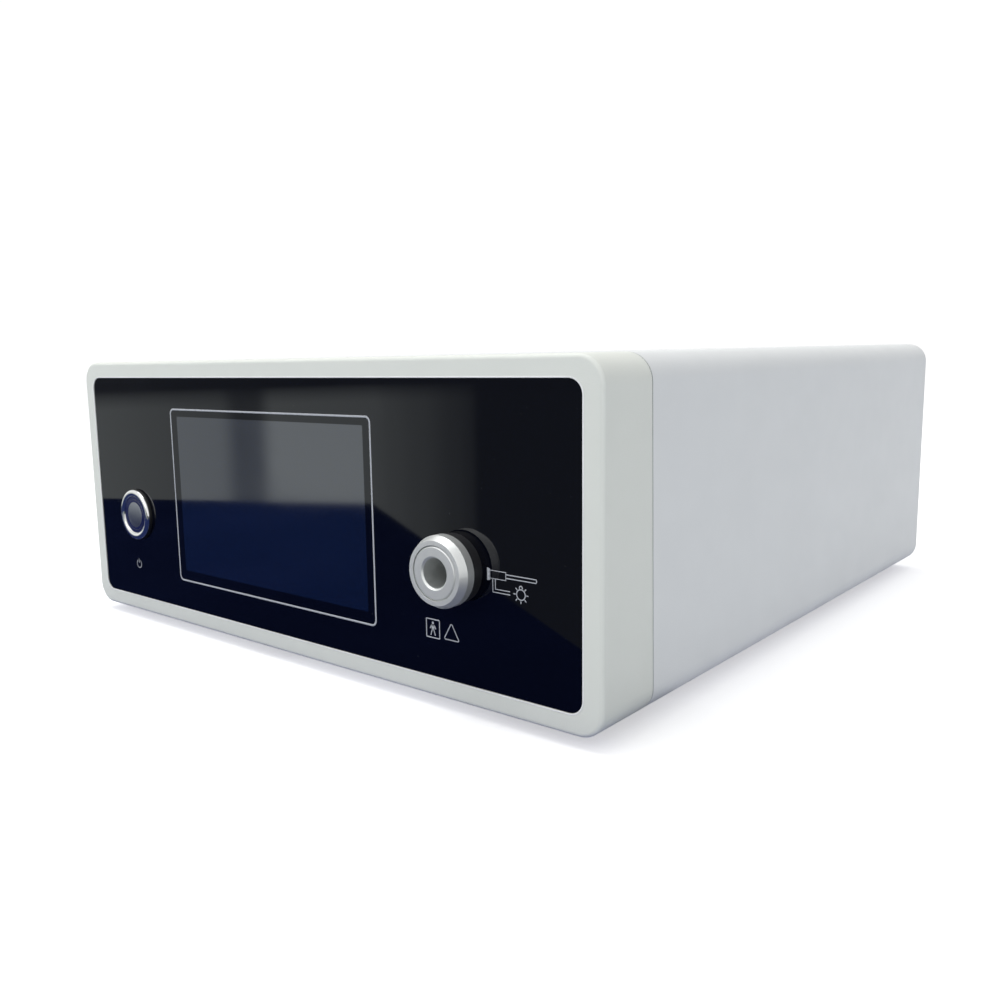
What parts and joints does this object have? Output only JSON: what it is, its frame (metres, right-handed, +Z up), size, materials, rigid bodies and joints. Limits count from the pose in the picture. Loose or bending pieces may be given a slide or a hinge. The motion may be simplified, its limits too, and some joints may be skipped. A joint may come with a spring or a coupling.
{
  "type": "fiber optic illuminator",
  "caption": "Bench-top light source with a touch display, an illuminated push button, a round light guide socket and a fan-cooled lamp.",
  "frame": {"origin": "on the table, under the middle of the whole object's box", "axes": "+X to the right as one faces the front, +Y from the front to the back, +Z up"},
  "size_m": [0.3, 0.351, 0.1244],
  "materials": {
    "white_paint": "satin powder coat",
    "white_moulding": "finely textured",
    "zinc_plated_sheet": "zinc plated",
    "grey_paint": "matt powder coat",
    "screw_steel": "bright zinc",
    "foot_rubber": "matt",
    "panel_glass": "high gloss, printed black behind",
    "foam_tape": "matt",
    "aluminium_plate": "milled",
    "display_glass": "gloss",
    "board_green": "solder resist",
    "chrome": "polished",
    "light_ring": "translucent",
    "brushed_cap": "satin",
    "spring_steel": "bright wire",
    "nickel_nut": "nickel plated",
    "black_plastic": "moulded",
    "tinned_brass": "tinned",
    "turned_aluminium": "turned, satin",
    "black_anodised": "black anodised",
    "optical_glass": "polished",
    "sink_aluminium": "extruded",
    "lamp_ceramic": "white solder resist",
    "thermal_silicone": "matt",
    "fan_plastic": "moulded",
    "grille_wire": "plated",
    "fuse_glass": "clear with metal caps",
    "lead_sheath": "matt"
  },
  "bodies": {
    "housing": {"bezel_screws": "screw_steel", "board_standoffs": "nickel_nut", "button_body": "chrome", "button_contact_block": "black_plastic", "button_light_ring": "light_ring", "button_nut": "nickel_nut", "button_spring": "spring_steel", "button_terminals": "tinned_brass", "chassis_tray": "zinc_plated_sheet", "control_board": "board_green", "display_board": "board_green", "display_bracket": "zinc_plated_sheet", "display_lead": "lead_sheath", "display_module": "display_glass", "equipotential_stud": "tinned_brass", "fan_frame": "fan_plastic", "fan_grille": "grille_wire", "fan_screws": "screw_steel", "foot_screws": "screw_steel", "front_bezel": "white_moulding", "front_lens": "optical_glass", "front_panel": "panel_glass", "heat_sink": "sink_aluminium", "housing_sleeve": "white_paint", "inlet_blades": "tinned_brass", "inlet_body": "black_plastic", "inlet_screws": "screw_steel", "lamp_board": "lamp_ceramic", "lamp_leads": "lead_sheath", "lens_barrel": "black_anodised", "lens_retainer": "black_anodised", "lens_spacer": "black_anodised", "mains_leads": "lead_sheath", "optic_bench": "black_anodised", "optic_bench_screws": "screw_steel", "panel_plate": "aluminium_plate", "panel_plate_screws": "screw_steel", "panel_tape": "foam_tape", "power_supply_board": "board_green", "power_supply_channel": "zinc_plated_sheet", "rear_lens": "optical_glass", "rear_panel": "grey_paint", "rear_panel_screws": "screw_steel", "rocker_frame": "black_plastic", "rubber_feet": "foot_rubber", "shutter_housing": "black_anodised", "shutter_pin": "screw_steel", "shutter_spring": "spring_steel", "socket_collar": "black_plastic", "socket_insert": "turned_aluminium", "socket_nut": "nickel_nut", "socket_ring": "turned_aluminium", "stud_nut": "nickel_nut", "thermal_pad": "thermal_silicone"},
    "fan": {"fan_rotor": "fan_plastic"},
    "fuse_carrier": {"fuse_drawer": "black_plastic", "fuses": "fuse_glass"},
    "rocker": {"mains_rocker": "black_plastic"},
    "button": {"button_cap": "brushed_cap"},
    "shutter": {"shutter_flap": "black_anodised"}
  },
  "joints": [
    {"name": "fan_spin", "type": "hinge", "parent": "housing", "child": "fan", "pos_m": [0.084, 0.147, 0.0642], "axis": [0, 1, 0], "continuous": true},
    {"name": "fuse_drawer_pull", "type": "slide", "parent": "housing", "child": "fuse_carrier", "axis": [0, 1, 0], "range_m": [0, 0.018]},
    {"name": "rocker_tilt", "type": "hinge", "parent": "housing", "child": "rocker", "pos_m": [-0.096, 0.1595, 0.088], "axis": [1, 0, 0], "range_deg": [-22, 0]},
    {"name": "button_press", "type": "slide", "parent": "housing", "child": "button", "axis": [0, 1, 0], "range_m": [0, 0.002], "stiffness_N_per_m": 800, "springref_m": -0.001, "deforming": ["button_spring"]},
    {"name": "shutter_swing", "type": "hinge", "parent": "housing", "child": "shutter", "pos_m": [0.0904, -0.1448, 0.0609], "axis": [1, 0, 0], "range_deg": [0, 90], "stiffness_Nm_per_rad": 0.002}
  ]
}
